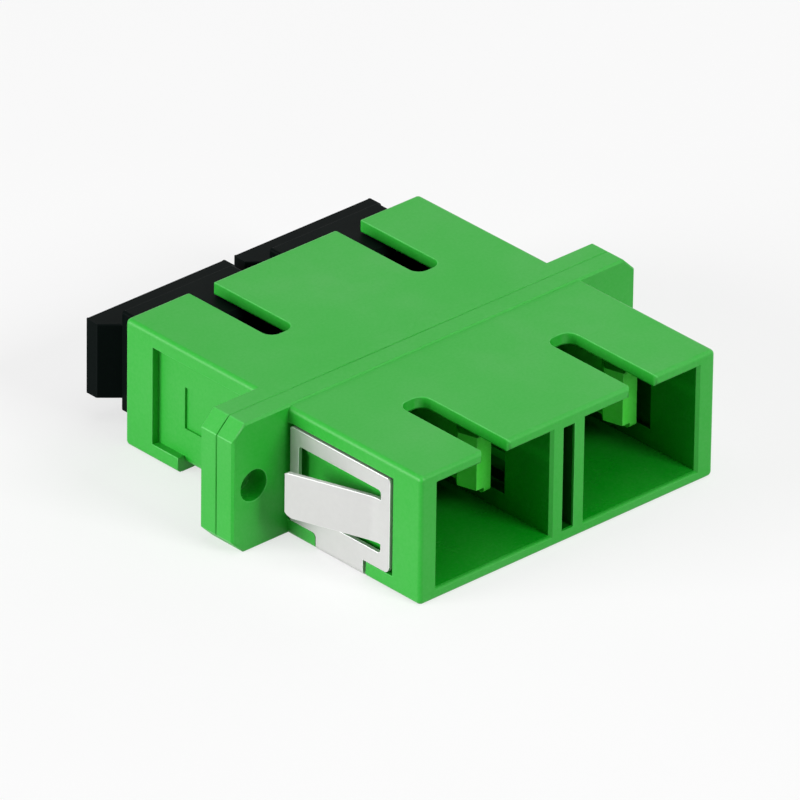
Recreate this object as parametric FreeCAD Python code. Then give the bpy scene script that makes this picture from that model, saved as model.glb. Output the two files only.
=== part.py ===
"""Duplex optical fibre adapter with a panel flange, a spring clip and two dust caps.

Two identical moulded halves meet at the middle of the flange and are turned half a
turn from each other about Z. Each half has two square ports with a key slot in the
roof. Four moulded inserts sit back to back at the seam, two in each half, and carry
the latch arms and the tube that holds a split ceramic sleeve. A folded strip of spring
steel sits round the sides and floor of the front half, with a tongue on each side that
snaps behind the panel. A black dust cap plugs each port of the rear half.

Frame: the origin is at the centre of the line through the two screw holes, on the seam.
X runs along the flange, Y towards the dust caps and Z up. Lengths are in millimetres.
"""
import FreeCAD, Part

import math
import os

V = FreeCAD.Vector

# How far a cutting tool runs past the surface that it opens
overcut = 1.0

# Places closer together than this are one place
same_place = 1e-6

# Ports
port_pitch = 12.7
port_width = 9.7
port_height = 7.5
side_wall = 1.5
roof_wall = 0.85
mouth_bevel = 0.2
body_reach = 13.9
body_corner = 0.35
body_edge = 0.3

# Key slot in the roof of each port
key_width = 2.15
key_length = 7.95
key_corner = 0.8
key_mouth_corner = 0.3

# Slit and latch windows in the wall between the ports
slit_width = 0.95
slit_floor = 2.0
latch_window_start = 4.3
latch_window_end = 2.6
latch_window_play = 0.1
latch_recess = 0.4

# Flange
flange_half = 1.55
flange_rise = 0.1
flange_corner = 1.05
flange_edge = 0.15
seam_edge = 0.07
screw_standoff = 2.9
ear_end = 1.8
screw_hole = 2.2
post_diameter = 1.0
post_length = 0.9
post_standoff = 0.95
post_rise = 2.7
post_play = 0.05

# Pocket for the clip in each side, and the channel for its strip
pocket_depth = 0.55
pocket_front_land = 2.6
pocket_rim = 1.1
tongue_relief = 0.15
relief_height = 3.0
relief_reach = 8.8
channel_depth = 0.32
channel_corner = 0.9
channel_play = 0.15

# Clip
clip_thickness = 0.3
clip_side_play = 0.35
clip_front_play = 0.15
clip_back_play = 0.3
clip_rim_play = 0.1
clip_corner = 0.2
clip_foot_corner = 0.5
clip_border = 1.15
clip_front_border = 0.85
clip_back_border = 0.8
clip_slot = 0.65
clip_slot_corner = 0.25
tongue_gap = 0.7
strip_width = 4.4
strip_centre = 6.5
strip_bend = 0.1
strip_fillet = 0.3
tongue_angle = 19.5
tongue_bend = 3.0
tongue_top_corner = 0.3
tongue_foot_corner = 0.8

# Inserts with the latch arms and the sleeve holder
plate_rim = 0.2
plate_play = 0.1
plate_float = 0.05
plate_thickness = 1.15
latch_room = 0.5
latch_thickness = 0.6
latch_height = 4.75
latch_tip_depth = 5.0
latch_root = 0.4
latch_corner = 0.4
hook_nose = 0.65
hook_height = 1.05
hook_inset = 0.45
hook_lead = 1.4
hook_back = 1.3
holder_diameter = 4.7
holder_tip_depth = 7.4
holder_lip = 0.7
holder_lip_bore = 2.9
holder_bevel = 0.25

# Split sleeve
sleeve_diameter = 3.2
sleeve_bore = 2.5
sleeve_slit = 0.5
sleeve_play = 0.05
sleeve_end_play = 0.1

# Dust caps
cap_play = 0.1
cap_insertion = 2.9
cap_standout = 2.1
cap_wall = 0.8
cap_lead = 0.4
cap_edge = 0.2
grip_overhang = 1.2
grip_height = 5.4
grip_end = 1.1
grip_depth = 2.15
grip_corner = 0.12

# Worked out from the sizes above
body_half_width = (port_pitch + port_width) / 2 + side_wall
body_half_height = port_height / 2 + roof_wall
flange_half_width = body_half_width + screw_standoff + ear_end
screw_x = body_half_width + screw_standoff
post_x = body_half_width + post_standoff
pocket_floor = body_half_width - pocket_depth
pocket_end = body_reach - pocket_front_land
pocket_half_height = body_half_height - pocket_rim
channel_floor = -body_half_height + channel_depth
clip_inner = pocket_floor + clip_side_play
clip_outer = clip_inner + clip_thickness
clip_front = pocket_end - clip_front_play
clip_back = flange_half + clip_back_play
clip_half_height = pocket_half_height - clip_rim_play
window_half_height = clip_half_height - clip_border
tongue_half_height = window_half_height - clip_slot
latch_outer = port_width / 2 - latch_room
latch_inner = latch_outer - latch_thickness
latch_tip = body_reach - latch_tip_depth
holder_tip = body_reach - holder_tip_depth
holder_seat = holder_tip - holder_lip
plate_half_width = port_width / 2 + plate_rim
plate_half_height = port_height / 2 + plate_rim
port_axes = (-port_pitch / 2, port_pitch / 2)


def box(x0, x1, y0, y1, z0, z1):
    """Box between two corners."""
    return Part.makeBox(x1 - x0, y1 - y0, z1 - z0, V(x0, y0, z0))


def mirrored_x(shape):
    """Copy of a shape mirrored in the plane x = 0."""
    return shape.mirror(V(0, 0, 0), V(1, 0, 0))


def turned(shape):
    """Copy of a shape turned half a turn about Z."""
    copy = shape.copy()
    copy.rotate(V(0, 0, 0), V(0, 0, 1), 180)
    return copy


def outline(corners, place):
    """Face bounded by a polygon whose corners (a, b, radius) are rounded.

    place turns the plane coordinates (a, b) into a point of the model.
    """
    count = len(corners)
    tangents = []
    for i, (a, b, radius) in enumerate(corners):
        here = V(a, b, 0)
        back = V(*corners[i - 1][:2], 0) - here
        ahead = V(*corners[(i + 1) % count][:2], 0) - here
        if radius <= 0:
            tangents.append((here, None, here))
            continue
        turn = back.getAngle(ahead)
        setback = radius / math.tan(turn / 2)
        back.normalize()
        ahead.normalize()
        middle = back + ahead
        middle.normalize()
        centre = here + middle * (radius / math.sin(turn / 2))
        top = centre - middle * radius
        tangents.append((here + back * setback, top, here + ahead * setback))
    edges = []
    for i, (start, top, end) in enumerate(tangents):
        if top is not None:
            edges.append(Part.Arc(place(start), place(top), place(end)).toShape())
        following = tangents[(i + 1) % count][0]
        if (following - end).Length > same_place:
            edges.append(Part.makeLine(place(end), place(following)))
    return Part.Face(Part.Wire(edges))


def prism_x(corners, x0, x1):
    """Rounded polygon in (y, z), drawn out from x0 to x1."""
    return outline(corners, lambda p: V(x0, p.x, p.y)).extrude(V(x1 - x0, 0, 0))


def prism_y(corners, y0, y1):
    """Rounded polygon in (x, z), drawn out from y0 to y1."""
    return outline(corners, lambda p: V(p.x, y0, p.y)).extrude(V(0, y1 - y0, 0))


def prism_z(corners, z0, z1):
    """Rounded polygon in (x, y), drawn out from z0 to z1."""
    return outline(corners, lambda p: V(p.x, p.y, z0)).extrude(V(0, 0, z1 - z0))


def rectangle(a0, a1, b0, b1, radius=0.0):
    """Corners of a rectangle, all with one radius."""
    return [(a0, b0, radius), (a1, b0, radius), (a1, b1, radius), (a0, b1, radius)]


def cylinder_y(radius, x, y0, y1, z=0.0):
    """Cylinder along Y between y0 and y1."""
    return Part.makeCylinder(radius, y1 - y0, V(x, y0, z), V(0, 1, 0))


def flare(half_width, half_height, x, y, bevel):
    """Funnel that bevels the edge of a rectangular hole which opens towards -Y at y."""
    wide = Part.makePolygon([
        V(x + a * (half_width + bevel), y, b * (half_height + bevel))
        for a, b in ((-1, -1), (1, -1), (1, 1), (-1, 1), (-1, -1))
    ])
    narrow = Part.makePolygon([
        V(x + a * half_width, y + bevel, b * half_height)
        for a, b in ((-1, -1), (1, -1), (1, 1), (-1, 1), (-1, -1))
    ])
    return Part.makeLoft([wide, narrow], True, True)


def body_block():
    """Outer block of one half, with rounded corners and a rounded front edge."""
    block = prism_y(
        rectangle(-body_half_width, body_half_width, -body_half_height, body_half_height, body_corner),
        -body_reach, 0)
    rim = [e for e in block.Edges if abs(e.BoundBox.YMax + body_reach) < same_place]
    return block.makeFillet(body_edge, rim)


def flange_plate():
    """Half of the flange, with its corners cut off, bevelled so that the seam shows as a fine groove."""
    low = -body_half_height
    high = body_half_height + flange_rise
    level = flange_half_width - flange_corner
    plate = prism_y(
        [
            (-level, low, 0),
            (level, low, 0),
            (flange_half_width, low + flange_corner, 0),
            (flange_half_width, high - flange_corner, 0),
            (level, high, 0),
            (-level, high, 0),
            (-flange_half_width, high - flange_corner, 0),
            (-flange_half_width, low + flange_corner, 0),
        ],
        -flange_half, 0)
    face_rim = [e for e in plate.Edges if abs(e.BoundBox.YMax + flange_half) < same_place]
    plate = plate.makeChamfer(flange_edge, face_rim)
    seam_rim = [e for e in plate.Edges if abs(e.BoundBox.YMin) < same_place]
    return plate.makeChamfer(seam_edge, seam_rim)


def port_cavity(x):
    """Everything that is open inside one port: the bore, the mouth, the key slot and the plate seat."""
    half_width = port_width / 2
    half_height = port_height / 2
    bore = box(x - half_width, x + half_width, -body_reach, 0, -half_height, half_height)
    mouth = flare(half_width, half_height, x, -body_reach, mouth_bevel)
    key = prism_z(
        [
            (x - key_width, -body_reach - overcut, 0),
            (x + key_width, -body_reach - overcut, 0),
            (x + key_width, -body_reach, 0),
            (x + key_width / 2, -body_reach, key_mouth_corner),
            (x + key_width / 2, -body_reach + key_length, key_corner),
            (x - key_width / 2, -body_reach + key_length, key_corner),
            (x - key_width / 2, -body_reach, key_mouth_corner),
            (x - key_width, -body_reach, 0),
        ],
        half_height - mouth_bevel, body_half_height + flange_rise + overcut)
    seat_width = plate_half_width + plate_play
    seat_height = plate_half_height + plate_play
    seat = box(x - seat_width, x + seat_width, -plate_thickness - plate_float, overcut,
               -seat_height, seat_height)
    return bore.fuse([mouth, key, seat])


def latch_windows():
    """Openings through the middle wall, and recesses in the outer walls, that let the arms spread."""
    y0 = -body_reach + latch_window_start
    y1 = -latch_window_end
    half_height = latch_height / 2 + latch_window_play
    wall_face = (port_pitch - port_width) / 2
    outer_face = (port_pitch + port_width) / 2
    middle = box(-wall_face - overcut, wall_face + overcut, y0, y1, -half_height, half_height)
    right = box(outer_face - overcut, outer_face + latch_recess, y0, y1, -half_height, half_height)
    slit = box(-slit_width / 2, slit_width / 2, -body_reach - overcut, -slit_floor,
               -port_height / 2, port_height / 2)
    return [middle, right, mirrored_x(right), slit]


def clip_seat():
    """Pockets for the clip in both sides, with the channel for its strip below them."""
    channel_front = -strip_centre - strip_width / 2 - channel_play
    channel_back = -strip_centre + strip_width / 2 + channel_play
    pocket = prism_x(
        [
            (-pocket_end, -pocket_half_height, 0),
            (channel_front, -pocket_half_height, 0),
            (channel_front, -body_half_height - overcut, 0),
            (channel_back, -body_half_height - overcut, 0),
            (channel_back, -pocket_half_height, strip_fillet),
            (-flange_half, -pocket_half_height, 0),
            (-flange_half, pocket_half_height, 0),
            (-pocket_end, pocket_half_height, 0),
        ],
        pocket_floor, body_half_width + overcut)
    relief = box(pocket_floor - tongue_relief, pocket_floor + overcut, -relief_reach, -flange_half,
                 -relief_height / 2, relief_height / 2)
    below = box(-body_half_width - overcut, body_half_width + overcut, channel_front, channel_back,
                -body_half_height - overcut, -pocket_half_height)
    kept = prism_y(
        [
            (-pocket_floor, channel_floor, channel_corner),
            (pocket_floor, channel_floor, channel_corner),
            (pocket_floor, body_half_height, 0),
            (-pocket_floor, body_half_height, 0),
        ],
        channel_front - overcut, channel_back + overcut)
    return [pocket, mirrored_x(pocket), relief, mirrored_x(relief), below.cut(kept)]


def flange_holes():
    """Screw holes in both ears, and the blind hole in the left one for the other half's post."""
    right = cylinder_y(screw_hole / 2, screw_x, -flange_half - overcut, overcut)
    blind = cylinder_y(post_diameter / 2 + post_play, -post_x, -post_length - post_play, overcut,
                       post_rise)
    return [right, mirrored_x(right), blind]


def flange_post():
    """Post in the right ear that locates the other half, rooted inside the flange."""
    return cylinder_y(post_diameter / 2, post_x, -flange_half / 2, post_length, post_rise)


def housing_half():
    """One moulded half, with its ports opening towards -Y."""
    solid = body_block().fuse(flange_plate()).removeSplitter()
    tools = [port_cavity(x) for x in port_axes]
    tools += latch_windows()
    tools += clip_seat()
    tools += flange_holes()
    return solid.cut(tools).fuse(flange_post()).removeSplitter()


def latch_arm():
    """Right-hand latch arm of an insert: a leaf with a hook head that points to the port axis."""
    catch = -latch_tip + hook_lead
    middle = (latch_inner + latch_outer) / 2
    half_height = latch_height / 2
    leaf = prism_z(rectangle(latch_inner, latch_outer, -latch_tip, -plate_thickness / 2),
                   -half_height, half_height)
    head = prism_z(
        [
            (middle, -latch_tip, 0),
            (latch_inner - hook_nose, -latch_tip, 0),
            (latch_inner - hook_height, catch, 0),
            (latch_inner, catch + hook_back, 0),
            (middle, catch + hook_back, 0),
        ],
        -half_height + hook_inset, half_height - hook_inset)
    tip = prism_x(
        [
            (-latch_tip, -half_height, latch_corner),
            (0, -half_height, 0),
            (0, half_height, 0),
            (-latch_tip, half_height, latch_corner),
        ],
        0, plate_half_width)
    root = prism_z(
        [
            (latch_inner - latch_root, -plate_thickness, 0),
            (middle, -plate_thickness, 0),
            (latch_inner, -plate_thickness - latch_root, 0),
        ],
        -half_height, half_height)
    return leaf.fuse([head]).common(tip).fuse(root)


def sleeve_holder():
    """Tube for half of the split sleeve, with a lip at its tip, and the bore to cut from it."""
    tube = cylinder_y(holder_diameter / 2, 0, -holder_tip, 0)
    rim = [e for e in tube.Edges if abs(e.BoundBox.YMax + holder_tip) < same_place]
    bore = cylinder_y(sleeve_diameter / 2 + sleeve_play, 0, -holder_seat, overcut)
    lip = cylinder_y(holder_lip_bore / 2, 0, -holder_tip - overcut, -holder_seat)
    return tube.makeChamfer(holder_bevel, rim), bore.fuse(lip)


def latch_insert():
    """Moulded insert of one port, on the port axis, with its plate against the seam."""
    plate = box(-plate_half_width, plate_half_width, -plate_thickness, 0,
                -plate_half_height, plate_half_height)
    arm = latch_arm()
    holder, bore = sleeve_holder()
    return plate.fuse([arm, mirrored_x(arm), holder]).removeSplitter().cut(bore)


def split_sleeve():
    """Ceramic sleeve with one slit along its top, centred on the seam."""
    half = holder_seat - sleeve_end_play
    tube = cylinder_y(sleeve_diameter / 2, 0, -half, half)
    bore = cylinder_y(sleeve_bore / 2, 0, -half - overcut, half + overcut)
    slit = box(-sleeve_slit / 2, sleeve_slit / 2, -half - overcut, half + overcut, 0, sleeve_diameter)
    return tube.cut([bore, slit])


def clip_tongue():
    """Right-hand tongue: it leaves the clip at its front border and leans out towards the flange."""
    root = -clip_front + clip_front_border
    flat_length = -root - clip_back - clip_back_border - tongue_gap
    angle = math.radians(tongue_angle)
    straight = flat_length - tongue_bend * angle
    centre = V(clip_outer + tongue_bend, root, 0)

    def along(radius, share):
        turn = angle * share
        return centre + V(-radius * math.cos(turn), radius * math.sin(turn), 0)

    outer = tongue_bend
    inner = tongue_bend + clip_thickness
    start = V(0, -clip_front_border / 2, 0)
    run = V(math.sin(angle), math.cos(angle), 0) * straight
    edges = [
        Part.makeLine(along(outer, 0) + start, along(outer, 0)),
        Part.Arc(along(outer, 0), along(outer, 0.5), along(outer, 1)).toShape(),
        Part.makeLine(along(outer, 1), along(outer, 1) + run),
        Part.makeLine(along(outer, 1) + run, along(inner, 1) + run),
        Part.makeLine(along(inner, 1) + run, along(inner, 1)),
        Part.Arc(along(inner, 1), along(inner, 0.5), along(inner, 0)).toShape(),
        Part.makeLine(along(inner, 0), along(inner, 0) + start),
        Part.makeLine(along(inner, 0) + start, along(outer, 0) + start),
    ]
    face = Part.Face(Part.Wire(edges))
    face.translate(V(0, 0, -tongue_half_height))
    leaf = face.extrude(V(0, 0, 2 * tongue_half_height))
    end = along(inner, 1) + run
    trim = prism_x(
        [
            (root - clip_front_border, -tongue_half_height, 0),
            (end.y, -tongue_half_height, tongue_foot_corner),
            (end.y, tongue_half_height, tongue_top_corner),
            (root - clip_front_border, tongue_half_height, 0),
        ],
        clip_inner - overcut, end.x + clip_thickness + overcut)
    return leaf.common(trim)


def clip_side():
    """Right-hand side plate of the clip, with the window round its tongue."""
    strip_front = -strip_centre - strip_width / 2
    strip_back = -strip_centre + strip_width / 2
    bend_top = channel_floor + strip_bend
    plate = prism_x(
        [
            (-clip_front, -clip_half_height, clip_foot_corner),
            (strip_front, -clip_half_height, 0),
            (strip_front, bend_top, 0),
            (strip_back, bend_top, 0),
            (strip_back, -clip_half_height, strip_fillet),
            (-clip_back, -clip_half_height, clip_corner),
            (-clip_back, clip_half_height, clip_corner),
            (-clip_front, clip_half_height, clip_corner),
        ],
        clip_inner, clip_outer)
    window = prism_x(
        rectangle(-clip_front + clip_front_border, -clip_back - clip_back_border,
                  -window_half_height, window_half_height, clip_slot_corner),
        clip_inner - overcut, clip_outer + overcut)
    return plate.cut(window).fuse(clip_tongue())


def trough(half_width, floor, bend, y0, y1):
    """Block with its two lower edges rounded, as high as the top of the strip's bends."""
    bend_top = channel_floor + strip_bend
    return prism_y(
        [
            (-half_width, floor, bend),
            (half_width, floor, bend),
            (half_width, bend_top, 0),
            (-half_width, bend_top, 0),
        ],
        y0, y1)


def panel_clip():
    """Spring clip: two side plates joined by a strip that is folded under the floor."""
    front = -strip_centre - strip_width / 2
    back = -strip_centre + strip_width / 2
    inner = trough(clip_inner, channel_floor, strip_bend, front - overcut, back + overcut)
    outer = trough(clip_outer, channel_floor - clip_thickness, strip_bend + clip_thickness, front, back)
    side = clip_side()
    return outer.cut(inner).fuse([side, mirrored_x(side)]).removeSplitter()


def plug_section(inset, y):
    """Outline of the dust cap's plug at y, drawn in by inset on every side."""
    half_width = port_width / 2 - cap_play - inset
    half_height = port_height / 2 - cap_play - inset
    corners = rectangle(-half_width, half_width, -half_height, half_height, cap_edge)
    return outline(corners, lambda p: V(p.x, y, p.y))


def dust_cap():
    """Hollow plug on the port axis, with a broader grip plate behind it."""
    front = body_reach - cap_insertion
    back = body_reach + cap_standout
    rear = back + grip_depth
    half_width = port_width / 2 - cap_play
    grip_half_width = half_width + grip_overhang
    nose = Part.makeLoft([plug_section(cap_lead, front).OuterWire,
                          plug_section(0, front + cap_lead).OuterWire], True, True)
    plug = plug_section(0, front + cap_lead).extrude(V(0, back - front - cap_lead, 0))
    grip = prism_z(
        [
            (-half_width, back, 0),
            (half_width, back, 0),
            (grip_half_width, rear - grip_end, 0),
            (grip_half_width, rear, grip_corner),
            (-grip_half_width, rear, grip_corner),
            (-grip_half_width, rear - grip_end, 0),
        ],
        -grip_height / 2, grip_height / 2)
    hollow = plug_section(cap_wall, front - overcut).extrude(V(0, back - cap_wall - front + overcut, 0))
    return plug.fuse([nose, grip]).removeSplitter().cut(hollow)


def moved_x(shape, x):
    """Copy of a shape moved along X."""
    copy = shape.copy()
    copy.translate(V(x, 0, 0))
    return copy


def pieces():
    """Every piece by name, in its place."""
    half = housing_half()
    insert = latch_insert()
    sleeve = split_sleeve()
    cap = dust_cap()
    left, right = port_axes
    return {
        "housing_front_half": half,
        "housing_rear_half": turned(half),
        "latch_insert_front_left": moved_x(insert, left),
        "latch_insert_front_right": moved_x(insert, right),
        "latch_insert_rear_left": moved_x(turned(insert), left),
        "latch_insert_rear_right": moved_x(turned(insert), right),
        "split_sleeve_left": moved_x(sleeve, left),
        "split_sleeve_right": moved_x(sleeve, right),
        "panel_clip": panel_clip(),
        "dust_cap_left": moved_x(cap, left),
        "dust_cap_right": moved_x(cap, right),
    }


def main():
    """Write one STEP file for each piece."""
    os.makedirs("parts", exist_ok=True)
    for name, shape in pieces().items():
        solid = shape.Solids[0] if len(shape.Solids) == 1 else shape
        solid.exportStep("parts/" + name + ".step")
        print(name, len(shape.Solids), "solid", round(shape.Volume, 2), "mm3", shape.isValid())


main()
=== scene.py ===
"""Finished surfaces, light and camera for a duplex fibre adapter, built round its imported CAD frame.

All lengths are in metres, in the frame of the CAD model: X runs along the flange, Y towards
the dust caps and Z up. The origin is the middle of the seam between the two housing halves.
Each moulded or pressed node is dressed with a welded copy whose edges are rounded as they
come out of a tool, and the split sleeves keep their CAD surfaces under a ground finish.
"""

import logging
import math
from collections.abc import Iterable
from dataclasses import dataclass, field
from enum import Enum
from typing import Any, Optional, Union

import bmesh
import bpy
import numpy as np
from mathutils import Matrix, Vector
from mathutils.bvhtree import BVHTree

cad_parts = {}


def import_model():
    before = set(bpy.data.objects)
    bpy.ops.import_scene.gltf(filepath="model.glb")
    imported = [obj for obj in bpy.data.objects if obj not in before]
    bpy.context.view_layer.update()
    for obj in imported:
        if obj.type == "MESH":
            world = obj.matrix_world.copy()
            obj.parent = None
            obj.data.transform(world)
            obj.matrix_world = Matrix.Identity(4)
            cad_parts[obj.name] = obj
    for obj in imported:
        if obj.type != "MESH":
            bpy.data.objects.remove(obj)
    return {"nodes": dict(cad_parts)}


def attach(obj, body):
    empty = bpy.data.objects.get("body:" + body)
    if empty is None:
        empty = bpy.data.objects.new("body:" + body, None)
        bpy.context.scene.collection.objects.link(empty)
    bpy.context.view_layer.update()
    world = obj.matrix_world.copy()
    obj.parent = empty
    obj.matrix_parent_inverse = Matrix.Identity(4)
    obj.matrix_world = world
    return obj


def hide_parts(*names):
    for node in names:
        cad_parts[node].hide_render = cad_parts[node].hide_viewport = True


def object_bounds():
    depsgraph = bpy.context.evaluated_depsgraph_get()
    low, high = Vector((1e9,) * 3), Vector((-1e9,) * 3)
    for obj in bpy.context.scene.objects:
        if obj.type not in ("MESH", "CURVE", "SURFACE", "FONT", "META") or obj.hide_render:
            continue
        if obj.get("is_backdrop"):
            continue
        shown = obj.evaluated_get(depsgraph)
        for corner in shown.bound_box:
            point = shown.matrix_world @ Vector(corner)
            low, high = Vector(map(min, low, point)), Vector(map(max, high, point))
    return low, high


MM = 0.001
EDGE_ATTRIBUTE = "rounded_edge"
WHITE = (1.0, 1.0, 1.0, 1.0)
PAINTED_SHADE_BLACK = (0.0, 0.0, 0.0, 1.0)

# Limits for flats, folds and normals
FLAT_ANGLE = math.radians(0.5)
FOLD_ANGLE = math.radians(170.0)
FLAT_REACH = math.radians(40.0)
ROUND_REACH = math.radians(60.0)
SMALL_SHARE = 0.03
SHORTEST_NORMAL = 1e-30

Colour = tuple[float, float, float]
Factors = tuple[float, float, float]
Range = tuple[float, float]
SocketValue = Union[float, Colour, tuple[float, float, float, float], bpy.types.NodeSocket]

log = logging.getLogger("adapter")


class Body(Enum):
    """Bodies of the CAD frame that a piece can ride on."""

    ADAPTER = "adapter"
    LEFT_CAP = "dust_cap_left"
    RIGHT_CAP = "dust_cap_right"


class Slot(Enum):
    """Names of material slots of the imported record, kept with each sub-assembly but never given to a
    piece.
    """

    HOUSING = "housing"
    INSERT = "insert"
    CLIP = "clip"
    CAP = "cap"


class Graph:
    """Places and joins nodes in one shader tree."""

    def __init__(self, tree: bpy.types.NodeTree) -> None:
        """Starts with an empty tree.

        Args:
            tree: the tree of a material, a world or a node group.
        """
        self.tree = tree
        tree.nodes.clear()

    def add(self, kind: str, inputs: Optional[dict[Union[str, int], SocketValue]] = None,
            **settings: Any) -> bpy.types.Node:
        """Makes one node.

        Args:
            kind: Blender's name for the type of node.
            inputs: a value or an output socket for each input, by name or place.
            settings: properties of the node.

        Returns:
            The node.
        """
        node = self.tree.nodes.new(kind)
        for key, value in settings.items():
            setattr(node, key, value)
        for key, value in (inputs or {}).items():
            if isinstance(value, bpy.types.NodeSocket):
                self.tree.links.new(value, node.inputs[key])
            else:
                node.inputs[key].default_value = value
        return node

    def join(self, output: bpy.types.NodeSocket, target: bpy.types.NodeSocket) -> None:
        """Links an output to an input."""
        self.tree.links.new(output, target)

    def maths(self, operation: str, *values: SocketValue) -> bpy.types.NodeSocket:
        """Adds a Math node for one of Blender's sums, with its inputs in order, and gives its result."""
        return self.add("ShaderNodeMath", dict(enumerate(values)), operation=operation).outputs[0]

    def remap(self, value: bpy.types.NodeSocket, low: float, high: float,
              new_low: float = 0.0, new_high: float = 1.0) -> bpy.types.NodeSocket:
        """Stretches low..high to new_low..new_high and holds the result inside them."""
        node = self.add("ShaderNodeMapRange", {
            "Value": value, "From Min": low, "From Max": high, "To Min": new_low, "To Max": new_high})
        return node.outputs["Result"]

    def mix_colour(self, share: SocketValue, first: SocketValue,
                   second: SocketValue) -> bpy.types.NodeSocket:
        """Mixes the first colour with a share of the second and gives the result."""
        node = self.add("ShaderNodeMix", {0: share, 6: first, 7: second}, data_type="RGBA")
        return node.outputs[2]

    def noise(self, place: bpy.types.NodeSocket, per_metre: SocketValue, detail: float = 2.0,
              roughness: float = 0.5) -> bpy.types.NodeSocket:
        """Adds a Noise Texture of a given number of features to the metre."""
        node = self.add("ShaderNodeTexNoise", {
            "Vector": place, "Scale": per_metre, "Detail": detail, "Roughness": roughness})
        return node.outputs["Fac"]

    def stretch(self, place: bpy.types.NodeSocket, factors: SocketValue) -> bpy.types.NodeSocket:
        """Multiplies each axis of a place by its own factor."""
        return self.add("ShaderNodeVectorMath", {0: place, 1: factors}, operation="MULTIPLY").outputs[0]

    def object_place(self) -> bpy.types.NodeSocket:
        """Gives the place on the piece, in metres."""
        return self.add("ShaderNodeTexCoord").outputs["Object"]

    def axis_distances(self) -> list[bpy.types.NodeSocket]:
        """Gives |x|, |y| and |z| of the place on the piece, in metres."""
        axes = self.add("ShaderNodeSeparateXYZ", {0: self.object_place()}).outputs
        return [self.maths("ABSOLUTE", axis) for axis in axes]


class Effect:
    """A node group that several finishes share, built once."""

    def __init__(self, name: str, inputs: dict[str, tuple[str, Any]], outputs: dict[str, str]) -> None:
        """Makes the group and its sockets.

        Args:
            name: name of the group.
            inputs: socket type and default of each input.
            outputs: socket type of each output.
        """
        self.group = bpy.data.node_groups.new(name, "ShaderNodeTree")
        self.graph = Graph(self.group)
        for label, (kind, default) in inputs.items():
            socket = self.group.interface.new_socket(name=label, in_out="INPUT", socket_type=kind)
            socket.default_value = default
        for label, kind in outputs.items():
            self.group.interface.new_socket(name=label, in_out="OUTPUT", socket_type=kind)
        self.given = self.graph.add("NodeGroupInput").outputs
        self.result = self.graph.add("NodeGroupOutput").inputs

    def place(self, graph: Graph, inputs: dict[str, SocketValue]) -> bpy.types.NodeOutputs:
        """Places the group in a material with its own values and gives its outputs."""
        return graph.add("ShaderNodeGroup", inputs, node_tree=self.group).outputs


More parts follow.
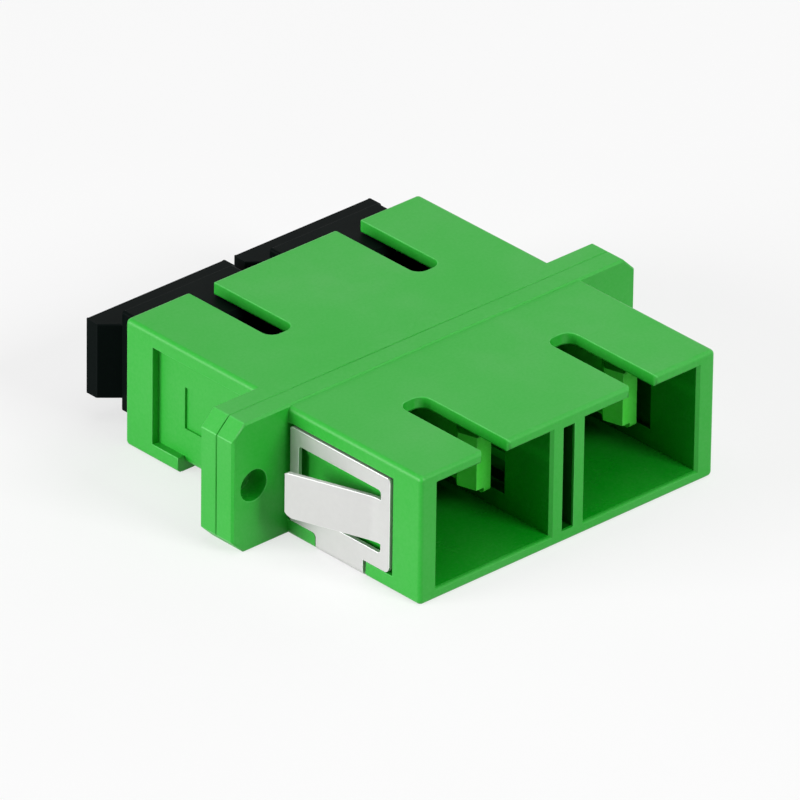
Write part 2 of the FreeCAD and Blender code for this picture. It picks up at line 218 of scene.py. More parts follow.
@dataclass
class SharedEffects:
    """The effects that more than one finish uses.

    Each range holds the two values of noise between which a mask rises from 0 to 1.
    """

    clouds_per_metre: float = 160.0
    patches_per_metre: float = 90.0
    pit_widths: float = 3.0
    edge_wear_and_highlight_range: Range = (0.45, 1.1)
    rub_range: Range = (0.35, 0.75)
    patch_range: Range = (0.3, 0.7)
    tone_drift: Effect = field(init=False)
    mould_grain: Effect = field(init=False)
    edge_wear_and_highlight: Effect = field(init=False)
    handling: Effect = field(init=False)

    def __post_init__(self) -> None:
        """Builds every effect."""
        self.tone_drift = self._tone_drift()
        self.mould_grain = self._mould_grain()
        self.edge_wear_and_highlight = self._edge_wear_and_highlight()
        self.handling = self._handling()

    def _tone_drift(self) -> Effect:
        """Colour that drifts a little over the piece, in broad clouds and in fine specks.

        Returns:
            The effect, whose value runs as 1 + amount * (clouds + specks - 1).
        """
        effect = Effect("tone_drift", {
            "Colour": ("NodeSocketColor", (0.5, 0.5, 0.5, 1.0)),
            "Amount": ("NodeSocketFloat", 0.1),
            "Specks": ("NodeSocketFloat", 5000.0),
        }, {"Colour": "NodeSocketColor"})
        g = effect.graph
        place = g.object_place()
        clouds = g.noise(place, self.clouds_per_metre, detail=3.0)
        specks = g.noise(place, effect.given["Specks"])
        swing = g.maths("SUBTRACT", g.maths("ADD", clouds, specks), 1.0)
        value = g.maths("MULTIPLY_ADD", swing, effect.given["Amount"], 1.0)
        tint = g.add("ShaderNodeHueSaturation", {
            "Saturation": g.maths("SUBTRACT", 2.0, value), "Value": value,
            "Color": effect.given["Colour"]})
        g.join(tint.outputs[0], effect.result["Colour"])
        return effect

    def _mould_grain(self) -> Effect:
        """Height of the fine matt texture that a spark-eroded mould leaves.

        Returns:
            The effect, whose height is fine noise with shallow rounded pits, pit_widths times as wide.
        """
        effect = Effect("mould_grain", {
            "Scale": ("NodeSocketFloat", 9000.0),
            "Pits": ("NodeSocketFloat", 0.4),
        }, {"Height": "NodeSocketFloat"})
        g = effect.graph
        place = g.object_place()
        fine = g.noise(place, effect.given["Scale"], detail=3.0, roughness=0.6)
        coarse = g.maths("DIVIDE", effect.given["Scale"], self.pit_widths)
        cells = g.add("ShaderNodeTexVoronoi", {"Vector": place, "Scale": coarse}, feature="SMOOTH_F1")
        pits = g.maths("MULTIPLY", cells.outputs["Distance"], effect.given["Pits"])
        g.join(g.maths("ADD", fine, pits), effect.result["Height"])
        return effect

    def _edge_wear_and_highlight(self) -> Effect:
        """Mask of the rounded edges, read from the attribute that mark_rims gives, broken by noise.

        Returns:
            The effect, whose mask is 1 on an edge and 0 on a flat. Finishes lay a lighter edge colour
            there: partly real wearing of thin edges, partly a painted highlight.
        """
        effect = Effect("edge_wear_and_highlight", {
            "Scale": ("NodeSocketFloat", 900.0),
            "Evenness": ("NodeSocketFloat", 0.6),
        }, {"Mask": "NodeSocketFloat"})
        g = effect.graph
        edge = g.add("ShaderNodeAttribute", attribute_name=EDGE_ATTRIBUTE).outputs["Fac"]
        patches = g.noise(g.object_place(), effect.given["Scale"], detail=3.0, roughness=0.6)
        kept = g.remap(g.maths("ADD", patches, effect.given["Evenness"]), *self.edge_wear_and_highlight_range)
        g.join(g.maths("MULTIPLY", edge, kept), effect.result["Mask"])
        return effect

    def _handling(self) -> Effect:
        """Mask of the faint smudges and rubs that fingers and bags leave.

        Returns:
            The effect, whose mask is stretched noise, strongest in a few broad patches.
        """
        effect = Effect("handling_marks", {
            "Scale": ("NodeSocketFloat", 350.0),
            "Stretch": ("NodeSocketVector", (1.0, 1.0, 1.0)),
        }, {"Mask": "NodeSocketFloat"})
        g = effect.graph
        place = g.stretch(g.object_place(), effect.given["Stretch"])
        rubs = g.noise(place, effect.given["Scale"], detail=4.0, roughness=0.65)
        patches = g.noise(place, self.patches_per_metre)
        mask = g.maths("MULTIPLY", g.remap(rubs, *self.rub_range), g.remap(patches, *self.patch_range))
        g.join(mask, effect.result["Mask"])
        return effect


def new_material(name: str) -> tuple[bpy.types.Material, Graph]:
    """Makes a material.

    Args:
        name: name of the material.

    Returns:
        The material and its graph, without nodes as yet.
    """
    made = bpy.data.materials.new(name)
    made.use_nodes = True
    return made, Graph(made.node_tree)


@dataclass(frozen=True)
class MouldCoresAndPaintedShade:
    """Where polished cores form a moulding from within: a block for the ports, a pin for each screw hole.

    block gives half of the block's size along each axis. Inside it and the pins the plastic loses
    the shares smoother, less_shine and less_grain of its roughness, shine and grain. In the block its
    colour is also darkened towards black as painted shade, for the shade deep in the ports: from its
    value at the mouth, at the block's ends, to its value inside, where |y| is below deep_from, and
    darkest in the windows of the walls, where |x| is below middle_wall or above outer_wall.
    """

    block: Factors
    pin_place: float
    pin_radius: float
    pin_reach: float
    painted_shade_at_mouth: float = 0.12
    painted_shade_inside: float = 0.60
    painted_shade_in_windows: float = 0.75
    deep_from: float = 5.0 * MM
    middle_wall: float = 1.45 * MM
    outer_wall: float = 11.25 * MM
    smoother: float = 0.45
    less_shine: float = 0.90
    less_grain: float = 0.80

    def tone(self, g: Graph, x: bpy.types.NodeSocket, y: bpy.types.NodeSocket) -> bpy.types.NodeSocket:
        """Gives how much of its light the plastic would lose in the block.

        Args:
            g: the graph of the material.
            x: the distance |x| of the place.
            y: the distance |y| of the place.

        Returns:
            The painted shade, as the share by which the colour is darkened: a straight line in |y| between
            its values at the mouth and inside, or its value in the windows.
        """
        # Painted shade: darker further into the ports, darkest in the windows of their walls.
        depth = g.remap(y, self.deep_from, self.block[1], self.painted_shade_inside, self.painted_shade_at_mouth)
        window = g.maths("MAXIMUM", g.maths("LESS_THAN", x, self.middle_wall),
                         g.maths("GREATER_THAN", x, self.outer_wall))
        return g.maths("MAXIMUM", depth, g.maths("MULTIPLY", window, self.painted_shade_in_windows))

    def masks(self, g: Graph) -> tuple[bpy.types.NodeSocket, bpy.types.NodeSocket]:
        """Masks the block, where |x|, |y| and |z| are inside its halves, and the round pins along Y.

        Args:
            g: the graph of the material.

        Returns:
            The block's mask times the painted shade there, and the mask of the block and pins together,
            where a mask is 1 inside and 0 outside.
        """
        x, y, z = g.axis_distances()
        within = [g.maths("LESS_THAN", place, half) for place, half in zip((x, y, z), self.block)]
        block = g.maths("MULTIPLY", g.maths("MULTIPLY", within[0], within[1]), within[2])
        across = g.maths("SUBTRACT", x, self.pin_place)
        away = g.maths("SQRT", g.maths("MULTIPLY_ADD", z, z, g.maths("MULTIPLY", across, across)))
        pin = g.maths("MULTIPLY", g.maths("LESS_THAN", away, self.pin_radius),
                      g.maths("LESS_THAN", y, self.pin_reach))
        return g.maths("MULTIPLY", block, self.tone(g, x, y)), g.maths("MAXIMUM", block, pin)


@dataclass(frozen=True)
class MouldedPlastic:
    """Injection-moulded plastic with a matt tool texture.

    colour and edge_colour are linear. The lighter edge colour on the rounded edges is partly the wearing
    of thin or rubbed moulding and partly a painted highlight. Where cores are given, the ports and their
    wall windows are darkened as painted shade.
    Handling marks are smoother than the rest by rub_gloss.
    """

    name: str
    colour: Colour
    edge_colour: Colour
    roughness: float = 0.5
    specular: float = 0.5
    drift: float = 0.08
    grain_scale: float = 9000.0
    grain_depth: float = 0.004 * MM
    wear_and_highlight: float = 0.5
    edge_evenness: float = 0.5
    rub_scale: float = 350.0
    rub_gloss: float = 0.12
    cores: Optional[MouldCoresAndPaintedShade] = None

    def material(self, effects: SharedEffects) -> bpy.types.Material:
        """Builds the material.

        Args:
            effects: the shared node groups.

        Returns:
            The material.
        """
        made, g = new_material(self.name)
        tone = effects.tone_drift.place(
            g, {"Colour": (*self.colour, 1.0), "Amount": self.drift})["Colour"]
        # Painted highlight, with some real wearing: the rounded edges are mixed towards the lighter edge
        # colour.
        edge_mask = effects.edge_wear_and_highlight.place(g, {"Evenness": self.edge_evenness})["Mask"]
        share = g.maths("MULTIPLY", edge_mask, self.wear_and_highlight)
        base = g.mix_colour(share, tone, (*self.edge_colour, 1.0))
        rubs = effects.handling.place(g, {"Scale": self.rub_scale})["Mask"]
        rough = g.maths("MULTIPLY_ADD", rubs, -self.rub_gloss, self.roughness)
        height = effects.mould_grain.place(g, {"Scale": self.grain_scale})["Height"]
        shine: SocketValue = self.specular
        relief: SocketValue = 1.0
        if self.cores is not None:
            # Painted shade: the colour in the ports and the windows of their walls is mixed towards black,
            # darker further in. The smoother, less shiny, less grainy finish there is the polished cores'
            # own.
            painted_shade, inside = self.cores.masks(g)
            base = g.mix_colour(painted_shade, base, PAINTED_SHADE_BLACK)
            kept = g.maths("MULTIPLY_ADD", inside, -self.cores.smoother, 1.0)
            rough = g.maths("MULTIPLY", rough, kept)
            lost_shine = self.cores.less_shine * self.specular
            shine = g.maths("MULTIPLY_ADD", inside, -lost_shine, self.specular)
            relief = g.maths("MULTIPLY_ADD", inside, -self.cores.less_grain, 1.0)
        bump = g.add("ShaderNodeBump", {
            "Strength": relief, "Distance": self.grain_depth, "Height": height})
        shader = g.add("ShaderNodeBsdfPrincipled", {
            "Base Color": base, "Roughness": rough, "Normal": bump.outputs[0],
            "Specular IOR Level": shine})
        g.add("ShaderNodeOutputMaterial", {"Surface": shader.outputs[0]})
        return made


@dataclass(frozen=True)
class SpringSteel:
    """Rolled strip steel with fine lines along Y and bright sheared edges.

    colour and edge_colour are linear. Lines and handling marks are rougher than the rest by
    line_roughness and rub_roughness.
    """

    name: str
    colour: Colour
    edge_colour: Colour
    roughness: float = 0.4
    metallic: float = 0.65
    drift: float = 0.06
    specks_per_metre: float = 3000.0
    edge_evenness: float = 0.8
    lines_per_metre: float = 16000.0
    line_stretch: Factors = (1.0, 0.03, 1.0)
    line_depth: float = 0.002 * MM
    line_roughness: float = 0.1
    rub_scale: float = 500.0
    rub_stretch: Factors = (1.0, 0.2, 1.0)
    rub_roughness: float = 0.12

    def material(self, effects: SharedEffects) -> bpy.types.Material:
        """Builds the material.

        Args:
            effects: the shared node groups.

        Returns:
            The material.
        """
        made, g = new_material(self.name)
        tone = effects.tone_drift.place(g, {
            "Colour": (*self.colour, 1.0), "Amount": self.drift,
            "Specks": self.specks_per_metre})["Colour"]
        edge_mask = effects.edge_wear_and_highlight.place(g, {"Evenness": self.edge_evenness})["Mask"]
        base = g.mix_colour(edge_mask, tone, (*self.edge_colour, 1.0))
        lines = g.noise(g.stretch(g.object_place(), self.line_stretch), self.lines_per_metre)
        rubs = effects.handling.place(g, {"Scale": self.rub_scale, "Stretch": self.rub_stretch})["Mask"]
        rubbed = g.maths("MULTIPLY_ADD", rubs, self.rub_roughness, self.roughness)
        rough = g.maths("MULTIPLY_ADD", lines, self.line_roughness, rubbed)
        bump = g.add("ShaderNodeBump", {"Strength": 1.0, "Distance": self.line_depth, "Height": lines})
        shader = g.add("ShaderNodeBsdfPrincipled", {
            "Base Color": base, "Roughness": rough, "Normal": bump.outputs[0],
            "Metallic": self.metallic})
        g.add("ShaderNodeOutputMaterial", {"Surface": shader.outputs[0]})
        return made


@dataclass(frozen=True)
class GroundCeramic:
    """White zirconia, centreless ground, with faint rings round Y.

    colour is linear. The rings are rougher than the rest by ring_roughness.
    """

    name: str
    colour: Colour
    roughness: float = 0.2
    drift: float = 0.03
    specks_per_metre: float = 2500.0
    rings_per_metre: float = 20000.0
    ring_stretch: Factors = (0.05, 1.0, 0.05)
    ring_depth: float = 0.001 * MM
    ring_roughness: float = 0.12

    def material(self, effects: SharedEffects) -> bpy.types.Material:
        """Builds the material.

        Args:
            effects: the shared node groups.

        Returns:
            The material.
        """
        made, g = new_material(self.name)
        tone = effects.tone_drift.place(g, {
            "Colour": (*self.colour, 1.0), "Amount": self.drift,
            "Specks": self.specks_per_metre})["Colour"]
        rings = g.noise(g.stretch(g.object_place(), self.ring_stretch), self.rings_per_metre)
        rough = g.maths("MULTIPLY_ADD", rings, self.ring_roughness, self.roughness)
        bump = g.add("ShaderNodeBump", {"Strength": 1.0, "Distance": self.ring_depth, "Height": rings})
        shader = g.add("ShaderNodeBsdfPrincipled", {
            "Base Color": tone, "Roughness": rough, "Normal": bump.outputs[0]})
        g.add("ShaderNodeOutputMaterial", {"Surface": shader.outputs[0]})
        return made


Finish = Union[MouldedPlastic, SpringSteel, GroundCeramic]

GREEN_HOUSING = MouldedPlastic(
    name="green_moulding", colour=(0.010, 0.360, 0.018), edge_colour=(0.08, 0.56, 0.10), specular=0.58,
    cores=MouldCoresAndPaintedShade(block=(11.7 * MM, 13.7 * MM, 3.85 * MM), pin_place=15.6 * MM, pin_radius=1.2 * MM,
                     pin_reach=1.5 * MM))
# The latch green is paler and yellower than the housing's. Its paleness is partly painted light, so that
# the arms deep in the ports look as brightly lit as the front faces.
GREEN_LATCH = MouldedPlastic(
    name="green_latch_moulding", colour=(0.080, 0.75, 0.063), edge_colour=(0.17, 0.80, 0.15))
BLACK_CAP = MouldedPlastic(
    name="black_moulding", colour=(0.0016, 0.0036, 0.0032), edge_colour=(0.010, 0.013, 0.013),
    roughness=0.42, specular=0.02, drift=0.25, wear_and_highlight=0.3)
SPRING_STEEL = SpringSteel(
    name="satin_spring_steel", colour=(0.56, 0.56, 0.55), edge_colour=(0.80, 0.80, 0.80))
WHITE_CERAMIC = GroundCeramic(name="ground_zirconia", colour=(0.86, 0.85, 0.80))


@dataclass(frozen=True)
class EdgeRound:
    """Rounding of the outer edges that a tool leaves.

    Broad faces that meet at more than from_angle get a bevel of the given width. Strips narrower
    than strip_widths of it are bevels already, and are only shaded round, up to crisp_angle. Where
    join_flats is set, flats are first joined and cut into broad triangles.
    """

    width: float
    segments: int = 2
    from_angle: float = math.radians(32.0)
    strip_widths: float = 5.0
    crisp_angle: float = math.radians(60.0)
    join_flats: bool = True
    join_angle: float = math.radians(1.0)
    weld_reach: float = 0.001 * MM
    sliver_reach: float = 0.002 * MM

    def _is_strip(self, face: bmesh.types.BMFace, edge: bmesh.types.BMEdge) -> bool:
        """Says whether a triangle is narrow across an edge, from its area over half the edge's length."""
        return 2.0 * face.calc_area() / edge.calc_length() < self.strip_widths * self.width

    def mark(self, shape: bmesh.types.BMesh) -> None:
        """Welds a shape's corners, and marks its edges for the bevel and the shading.

        Args:
            shape: the mesh of a CAD node.
        """
        bmesh.ops.remove_doubles(shape, verts=shape.verts, dist=self.weld_reach)
        if self.join_flats:
            bmesh.ops.dissolve_limit(shape, angle_limit=self.join_angle, verts=shape.verts,
                                     edges=shape.edges, delimit={"NORMAL"})
            bmesh.ops.triangulate(shape, faces=shape.faces, quad_method="BEAUTY", ngon_method="BEAUTY")
            bmesh.ops.dissolve_degenerate(shape, edges=shape.edges, dist=self.sliver_reach)
        weight = shape.edges.layers.float.new("bevel_weight_edge")
        for edge in shape.edges:
            if edge.calc_face_angle() < self.from_angle:
                continue
            if not edge.is_convex:
                edge.smooth = False
            elif not any(self._is_strip(face, edge) for face in edge.link_faces):
                edge[weight] = 1.0
            elif edge.calc_face_angle() > self.crisp_angle:
                edge.smooth = False

    def apply(self, piece: bpy.types.Object) -> bpy.types.Mesh:
        """Bevels the marked edges.

        Args:
            piece: an object with two material slots, of which the second goes to the new faces.

        Returns:
            The finished mesh.
        """
        bevel = piece.modifiers.new("rounded_edges", "BEVEL")
        bevel.width = self.width
        bevel.segments = self.segments
        bevel.limit_method = "WEIGHT"
        bevel.use_clamp_overlap = False
        bevel.material = 1
        finished = piece.evaluated_get(bpy.context.evaluated_depsgraph_get())
        made = bpy.data.meshes.new_from_object(finished)
        piece.modifiers.clear()
        return made


def add_object(name: str, data: bpy.types.ID) -> bpy.types.Object:
    """Makes an object and links it to the scene.

    Args:
        name: name of the object.
        data: its mesh, light or camera.

    Returns:
        The object.
    """
    made = bpy.data.objects.new(name, data)
    bpy.context.scene.collection.objects.link(made)
    return made


def mesh_arrays(mesh: bpy.types.Mesh) -> tuple[np.ndarray, np.ndarray]:
    """Reads a mesh of triangles.

    Args:
        mesh: a CAD node's mesh.

    Returns:
        Its vertices as (n, 3) and its corners as (m, 3).
    """
    places = np.empty(len(mesh.vertices) * 3, np.float64)
    mesh.vertices.foreach_get("co", places)
    corners = np.empty(len(mesh.loops), np.int64)
    mesh.loops.foreach_get("vertex_index", corners)
    return places.reshape(-1, 3), corners.reshape(-1, 3)


def settle(mesh: bpy.types.Mesh, skin: BVHTree, low: np.ndarray, high: np.ndarray,
           reach: float) -> None:
    """Brings back the few vertices that the bevel throws off the CAD surface.

    Each of them goes to the nearest point of the surface, and then all are held between low and high.

    Args:
        mesh: the bevelled mesh.
        skin: the CAD surface.
        low: lowest corner of the CAD node.
        high: highest corner of the CAD node.
        reach: how far a vertex may lie from the surface.
    """
    held = np.empty(len(mesh.vertices) * 3, np.float64)
    mesh.vertices.foreach_get("co", held)
    held = held.reshape(-1, 3)
    nearest = [skin.find_nearest(place) for place in held]
    off = np.array([hit[3] for hit in nearest]) > reach
    on_skin = np.array([hit[0] for hit in nearest])
    held = np.where(off[:, None], on_skin, held)
    mesh.vertices.foreach_set("co", np.clip(held, low, high).ravel())
    mesh.update()


def unfold(mesh: bpy.types.Mesh, rounds: int = 200) -> int:
    """Turns the shared edge of each thin triangle that the bevel has folded over its neighbour.

    Such an edge has triangles on both sides that meet at more than FOLD_ANGLE. The longest goes first.

    Args:
        mesh: the bevelled mesh.
        rounds: how many edges may be turned.

    Returns:
        How many edges were turned.
    """
    shape = bmesh.new()
    shape.from_mesh(mesh)
    turned = 0
    while turned < rounds:
        folds = [edge for edge in shape.edges
                 if len(edge.link_faces) == 2 and edge.calc_face_angle() > FOLD_ANGLE
                 and all(len(face.verts) == 3 for face in edge.link_faces)]
        if not folds:
            break
        edge = bmesh.utils.edge_rotate(max(folds, key=lambda fold: fold.calc_length()))
        edge.smooth = True
        for face in edge.link_faces:
            face.normal_update()
        turned += 1
    shape.to_mesh(mesh)
    shape.free()
    return turned


def join_groups(count: int, pairs: Iterable[tuple[int, int]]) -> np.ndarray:
    """Labels numbered things so that both ends of every pair have one label.

    Args:
        count: how many things there are.
        pairs: numbers of things that belong together.

    Returns:
        A label for each thing.
    """
    root = list(range(count))

    def top(item: int) -> int:
        """Follows the chain of roots to its end, and shortens it on the way.

        Args:
            item: where the chain begins.

        Returns:
            Its end.
        """
        while root[item] != item:
            root[item] = root[root[item]]
            item = root[item]
        return item

    for one, other in pairs:
        root[top(one)] = top(other)
    return np.array([top(item) for item in range(count)])


def shade_flats(mesh: bpy.types.Mesh) -> None:
    """Gives each corner of a mesh the normal of the broadest flat round it.

    Faces that touch at less than FLAT_ANGLE make one flat. A corner's normal is the sum, over the
    faces round its vertex up to the sharp edges, of the face's normal times the square of its
    flat's area, scaled to length 1. Faces that lean away from the corner's own face by more than
    FLAT_REACH don't count, or by more than ROUND_REACH where its own flat is less than SMALL_SHARE
    of theirs. So flats stay flat right up to a round edge, also where that edge ends.

    Args:
        mesh: the mesh, with its sharp edges marked.
    """
    shape = bmesh.new()
    shape.from_mesh(mesh)
    shape.faces.index_update()
    inner = [edge for edge in shape.edges if len(edge.link_loops) == 2]
    flats = join_groups(len(shape.faces), (
        tuple(face.index for face in edge.link_faces) for edge in inner
        if edge.calc_face_angle() < FLAT_ANGLE))
    areas = np.bincount(flats, [face.calc_area() for face in shape.faces], len(shape.faces))[flats]
    loops = [loop for face in shape.faces for loop in face.loops]
    corner = {loop: number for number, loop in enumerate(loops)}
    joined = []
    for edge in inner:
        if edge.smooth:
            one, other = edge.link_loops
            joined.append((corner[one], corner[other.link_loop_next]))
            joined.append((corner[one.link_loop_next], corner[other]))
    members: dict[int, list[int]] = {}
    for number, group in enumerate(join_groups(len(loops), joined)):
        members.setdefault(group, []).append(number)
    meets = np.array([(one, other) for fan in members.values() for one in fan for other in fan])
    owners = np.array([loop.face.index for loop in loops])
    normals = np.array([face.normal for face in shape.faces])
    own, near = owners[meets[:, 0]], owners[meets[:, 1]]
    small = areas[own] < SMALL_SHARE * areas[near]
    reach = np.where(small, math.cos(ROUND_REACH), math.cos(FLAT_REACH))
    counts = (np.einsum("ij,ij->i", normals[own], normals[near]) > reach) | (own == near)
    total = np.zeros((len(loops), 3))
    np.add.at(total, meets[counts, 0], normals[near[counts]] * areas[near[counts], None] ** 2)
    total /= np.maximum(np.linalg.norm(total, axis=1, keepdims=True), SHORTEST_NORMAL)
    shape.free()
    mesh.normals_split_custom_set(total.tolist())


def mark_rims(mesh: bpy.types.Mesh) -> None:
    """Notes the bevels' faces in EDGE_ATTRIBUTE, then puts all faces in one slot and shades them smooth.

    Args:
        mesh: the bevelled mesh, with the bevels' faces in its second material slot.
    """
    count = len(mesh.polygons)
    rim = np.empty(count, np.int32)
    mesh.polygons.foreach_get("material_index", rim)
    marks = mesh.attributes.new(EDGE_ATTRIBUTE, "FLOAT", "FACE")
    marks.data.foreach_set("value", rim.astype(np.float32))
    mesh.polygons.foreach_set("material_index", np.zeros(count, np.int32))
    mesh.polygons.foreach_set("use_smooth", np.ones(count, bool))


def rounded_copy(node: bpy.types.Object, name: str, edges: EdgeRound) -> bpy.types.Object:
    """Makes a copy of a CAD node with welded corners and rounded outer edges.

    Args:
        node: the CAD node.
        name: name of the new piece.
        edges: how its edges are rounded.

    Returns:
        The new piece, inside the node's own box, with the faces of its edges marked.
    """
    places, corners = mesh_arrays(node.data)
    mesh = bpy.data.meshes.new(name)
    mesh.from_pydata(places.tolist(), [], corners.tolist())
    shape = bmesh.new()
    shape.from_mesh(mesh)
    edges.mark(shape)
    skin = BVHTree.FromBMesh(shape)
    shape.to_mesh(mesh)
    shape.free()
    mesh.materials.append(None)
    mesh.materials.append(None)
    piece = add_object(name, mesh)
    finished = edges.apply(piece)
    piece.data = finished
    settle(finished, skin, places.min(axis=0), places.max(axis=0), edges.width / 2)
    turned = unfold(finished)
    mark_rims(finished)
    shade_flats(finished)
    log.info("%s: %d folds turned", name, turned)
    return piece


@dataclass(frozen=True)
class Dressing:
    """One CAD node and the piece that stands for it."""

    node: str
    piece: str
    body: Body


@dataclass
class SubAssembly:
    """Pieces that share a finish and the rounding of their edges, with the name of a slot that nothing
    reads.
    """

    slot: Slot
    finish: Finish
    edges: EdgeRound
    dressings: tuple[Dressing, ...]

    def build(self, nodes: dict[str, bpy.types.Object], effects: SharedEffects) -> list[bpy.types.Object]:
        """Dresses each node with a finished copy.

        Args:
            nodes: CAD nodes by name.
            effects: the shared node groups.

        Returns:
            The new pieces.
        """
        material = self.finish.material(effects)
        pieces = []
        for dressing in self.dressings:
            piece = rounded_copy(nodes[dressing.node], dressing.piece, self.edges)
            piece.data.materials.clear()
            piece.data.materials.append(material)
            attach(piece, dressing.body.value)
            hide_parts(dressing.node)
            log.info("%s stands for %s with %d faces", piece.name, dressing.node, len(piece.data.polygons))
            pieces.append(piece)
        return pieces


@dataclass
class Housing(SubAssembly):
    """The two welded halves with their ports, flange and pockets."""

    slot: Slot = Slot.HOUSING
    finish: Finish = GREEN_HOUSING
    edges: EdgeRound = EdgeRound(0.06 * MM)
    dressings: tuple[Dressing, ...] = (
        Dressing("housing_front_half", "front_shell", Body.ADAPTER),
        Dressing("housing_rear_half", "rear_shell", Body.ADAPTER),
    )


@dataclass
class LatchInserts(SubAssembly):
    """The four inserts with their hooked arms and sleeve holders."""

    slot: Slot = Slot.INSERT
    finish: Finish = GREEN_LATCH
    edges: EdgeRound = EdgeRound(0.06 * MM)
    dressings: tuple[Dressing, ...] = tuple(
        Dressing("latch_insert_" + place, "latches_" + place, Body.ADAPTER)
        for place in ("front_left", "front_right", "rear_left", "rear_right"))


@dataclass
class PanelClip(SubAssembly):
    """The folded spring clip with its two tongues."""

    slot: Slot = Slot.CLIP
    finish: Finish = SPRING_STEEL
    edges: EdgeRound = EdgeRound(0.04 * MM)
    dressings: tuple[Dressing, ...] = (Dressing("panel_clip", "spring_clip", Body.ADAPTER),)


@dataclass
class DustCaps(SubAssembly):
    """The two black caps in the rear ports."""

    slot: Slot = Slot.CAP
    finish: Finish = BLACK_CAP
    edges: EdgeRound = EdgeRound(0.06 * MM, join_flats=False)
    dressings: tuple[Dressing, ...] = (
        Dressing("dust_cap_left", "left_dust_cap", Body.LEFT_CAP),
        Dressing("dust_cap_right", "right_dust_cap", Body.RIGHT_CAP),
    )


@dataclass
class AlignmentSleeves:
    """The split ceramic sleeves, which keep their CAD surfaces."""

    finish: Finish = WHITE_CERAMIC
    nodes: tuple[str, ...] = ("split_sleeve_left", "split_sleeve_right")

    def build(self, nodes: dict[str, bpy.types.Object], effects: SharedEffects) -> list[bpy.types.Object]:
        """Gives each sleeve the ground finish.

        Args:
            nodes: CAD nodes by name.
            effects: the shared node groups.

        Returns:
            The nodes that were dressed.
        """
        material = self.finish.material(effects)
        dressed = [nodes[name] for name in self.nodes]
        for node in dressed:
            node.data.materials.clear()
            node.data.materials.append(material)
            log.info("%s has the finish %s", node.name, material.name)
        return dressed


@dataclass(frozen=True)
class SoftLamp:
    """A square soft lamp that faces the object.

    level is how bright a white surface looks that faces the lamp with no other light.
    """

    name: str
    azimuth: float
    elevation: float
    level: float
    distance: float = 0.80
    size: float = 0.60

    def hang(self, target: Vector) -> None:
        """Hangs the lamp, with a power of its level times pi squared times the square of its distance.

        Args:
            target: the point that it faces.
        """
        light = bpy.data.lights.new(self.name, "AREA")
        light.shape = "SQUARE"
        light.size = self.size
        light.energy = self.level * math.pi ** 2 * self.distance ** 2
        lamp = add_object(self.name, light)
        a, e = math.radians(self.azimuth), math.radians(self.elevation)
        out = Vector((math.sin(a) * math.cos(e), -math.cos(a) * math.cos(e), math.sin(e)))
        lamp.location = target + out * self.distance
        lamp.rotation_mode = "QUATERNION"
        lamp.rotation_quaternion = out.to_track_quat("Z", "Y")


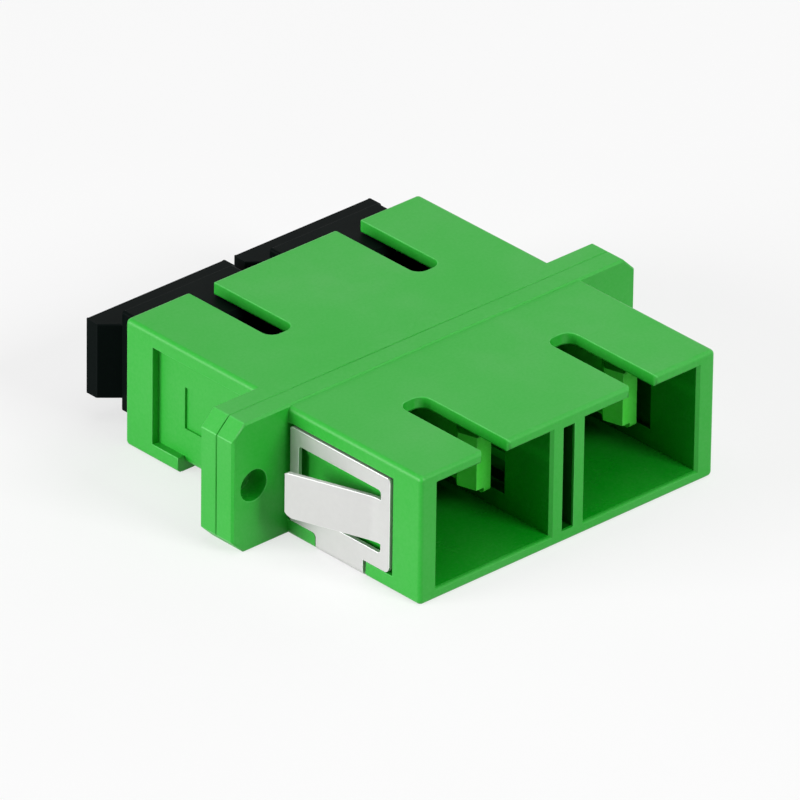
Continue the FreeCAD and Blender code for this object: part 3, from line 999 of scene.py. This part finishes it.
@dataclass
class Studio:
    """Pale floor, even surroundings and soft lamps.

    The floor drifts between floor_colour and floor_mottle where it is seen, with floor_glow as the
    share of plain white, and lights the object as floor_bounce.
    """

    surroundings: float = 0.10
    floor_side: float = 2.0
    floor_points: int = 9
    floor_colour: Colour = (0.91, 0.91, 0.91)
    floor_mottle: Colour = (0.93, 0.93, 0.93)
    mottles_per_metre: float = 40.0
    mottle_range: Range = (0.3, 0.7)
    floor_bounce: Colour = (0.60, 0.60, 0.60)
    floor_glow: float = 0.67
    floor_roughness: float = 0.9
    floor_specular: float = 0.1
    lamps: tuple[SoftLamp, ...] = (
        SoftLamp("left_window", azimuth=-110.0, elevation=11.0, level=1.28, size=0.45),
        SoftLamp("front_fill", azimuth=10.0, elevation=30.0, level=0.63, size=0.30),
        SoftLamp("top_light", azimuth=-20.0, elevation=80.0, level=0.29),
        SoftLamp("right_fill", azimuth=95.0, elevation=25.0, level=0.22),
    )

    @staticmethod
    def _is_seen(g: Graph) -> bpy.types.NodeSocket:
        """Tells the rays that look at a surface from those that only gather light.

        Args:
            g: the graph of a material or the world.

        Returns:
            1 for rays of the camera, reflections and transmission, and else 0.
        """
        ray = g.add("ShaderNodeLightPath").outputs
        mirrored = g.maths("MAXIMUM", ray["Is Glossy Ray"], ray["Is Transmission Ray"])
        return g.maths("MAXIMUM", ray["Is Camera Ray"], mirrored)

    def _sky(self) -> None:
        """Lights the scene evenly, and looks white where it is seen."""
        world = bpy.data.worlds.new("studio_surroundings")
        bpy.context.scene.world = world
        world.use_nodes = True
        g = Graph(world.node_tree)
        strength = g.remap(self._is_seen(g), 0.0, 1.0, self.surroundings, 1.0)
        sky = g.add("ShaderNodeBackground", {"Color": WHITE, "Strength": strength})
        g.add("ShaderNodeOutputWorld", {"Surface": sky.outputs[0]})

    def _floor(self, height: float) -> None:
        """Lays the floor: a square grid of points at one height.

        Args:
            height: the floor's Z.
        """
        steps = np.linspace(-self.floor_side / 2, self.floor_side / 2, self.floor_points)
        floor = surface_object("floor", *grid_surface(
            np.stack(np.broadcast_arrays(steps[:, None], steps[None, :], height), axis=-1)))
        material, g = new_material("pale_floor")
        mottle = g.noise(g.object_place(), self.mottles_per_metre, detail=3.0)
        share = g.remap(mottle, *self.mottle_range)
        tone = g.mix_colour(share, (*self.floor_colour, 1.0), (*self.floor_mottle, 1.0))
        seen = self._is_seen(g)
        tone = g.mix_colour(seen, (*self.floor_bounce, 1.0), tone)
        shader = g.add("ShaderNodeBsdfPrincipled", {
            "Base Color": tone, "Roughness": self.floor_roughness,
            "Specular IOR Level": self.floor_specular})
        glow = g.add("ShaderNodeEmission", {"Color": WHITE, "Strength": 1.0})
        lit = g.maths("MULTIPLY", seen, self.floor_glow)
        mixed = g.add("ShaderNodeMixShader", {0: lit, 1: shader.outputs[0], 2: glow.outputs[0]})
        g.add("ShaderNodeOutputMaterial", {"Surface": mixed.outputs[0]})
        floor.data.materials.append(material)
        floor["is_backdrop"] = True

    def build(self, floor_height: float) -> None:
        """Builds the floor, the surroundings and the lamps.

        Args:
            floor_height: the Z of the object's underside.
        """
        bpy.context.scene.view_settings.view_transform = "Standard"
        self._sky()
        self._floor(floor_height)
        origin = Vector((0.0, 0.0, 0.0))
        for lamp in self.lamps:
            lamp.hang(origin)
            log.info("%s hangs at level %.2f", lamp.name, lamp.level)


@dataclass(frozen=True)
class Viewpoint:
    """The photograph's camera, as fitted to the edges of the object.

    right, up and distance place the origin in the camera's own axes. focal is in pixels of a
    picture that is frame pixels wide, and sensor in millimetres. The fit had its origin
    fit_height above the model's.
    """

    azimuth: float = -42.96
    elevation: float = 29.08
    roll: float = -0.77
    right: float = -1.17 * MM
    up: float = 3.82 * MM
    distance: float = 898.68 * MM
    focal: float = 14071.93
    frame: float = 800.0
    sensor: float = 36.0
    fit_height: float = 4.6 * MM

    def place(self) -> None:
        """Makes the camera and sets it as the scene's. Its lens is focal over frame, times sensor."""
        a, e, r = (math.radians(v) for v in (self.azimuth, self.elevation, self.roll))
        back = np.array([math.sin(a) * math.cos(e), -math.cos(a) * math.cos(e), math.sin(e)])
        level = np.array([math.cos(a), math.sin(a), 0.0])
        turn = np.array([
            [math.cos(r), -math.sin(r), 0.0], [math.sin(r), math.cos(r), 0.0], [0.0, 0.0, 1.0]])
        axes = turn @ np.stack([level, np.cross(back, level), back])
        fitted = axes.T @ np.array([self.right, self.up, self.distance])
        eye = fitted - np.array([0.0, 0.0, self.fit_height])
        lens = bpy.data.cameras.new("photo_camera")
        lens.sensor_width = self.sensor
        lens.lens = self.focal / self.frame * self.sensor
        camera = add_object("photo_camera", lens)
        camera.matrix_world = Matrix.Translation(Vector(eye)) @ Matrix(axes.T.tolist()).to_4x4()
        bpy.context.scene.camera = camera


def grid_surface(points: np.ndarray) -> tuple[np.ndarray, np.ndarray]:
    """Turns a grid of points into a surface: each face joins four neighbours of the grid.

    Args:
        points: the surface as (rows, columns, 3).

    Returns:
        The vertices as (n, 3) and the four corners of each face as (m, 4).
    """
    rows, columns = points.shape[:2]
    index = np.arange(rows * columns).reshape(rows, columns)
    corners = np.stack([index[:-1, :-1], index[1:, :-1], index[1:, 1:], index[:-1, 1:]], axis=-1)
    return points.reshape(-1, 3), corners.reshape(-1, 4)


def surface_object(name: str, places: np.ndarray, corners: np.ndarray) -> bpy.types.Object:
    """Puts a surface of four-cornered faces into a new object.

    Args:
        name: name of the object.
        places: vertices as (n, 3).
        corners: faces as (m, 4).

    Returns:
        The object, linked to the scene.
    """
    mesh = bpy.data.meshes.new(name)
    mesh.vertices.add(len(places))
    mesh.vertices.foreach_set("co", places.astype(np.float32).ravel())
    mesh.loops.add(corners.size)
    mesh.loops.foreach_set("vertex_index", corners.astype(np.int32).ravel())
    mesh.polygons.add(len(corners))
    mesh.polygons.foreach_set("loop_start", np.arange(0, corners.size, 4, dtype=np.int32))
    mesh.update(calc_edges=True)
    mesh.validate()
    return add_object(name, mesh)


def main() -> None:
    """Builds the scene round the frame."""
    logging.basicConfig(level=logging.INFO, format="%(name)s: %(message)s")
    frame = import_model()
    cad_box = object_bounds()
    nodes = frame["nodes"]
    effects = SharedEffects()
    for assembly in (Housing(), LatchInserts(), AlignmentSleeves(), PanelClip(), DustCaps()):
        made = assembly.build(nodes, effects)
        log.info("%s: %d pieces", type(assembly).__name__, len(made))
    Studio().build(floor_height=cad_box[0].z)
    Viewpoint().place()


if __name__ == "__main__":
    main()
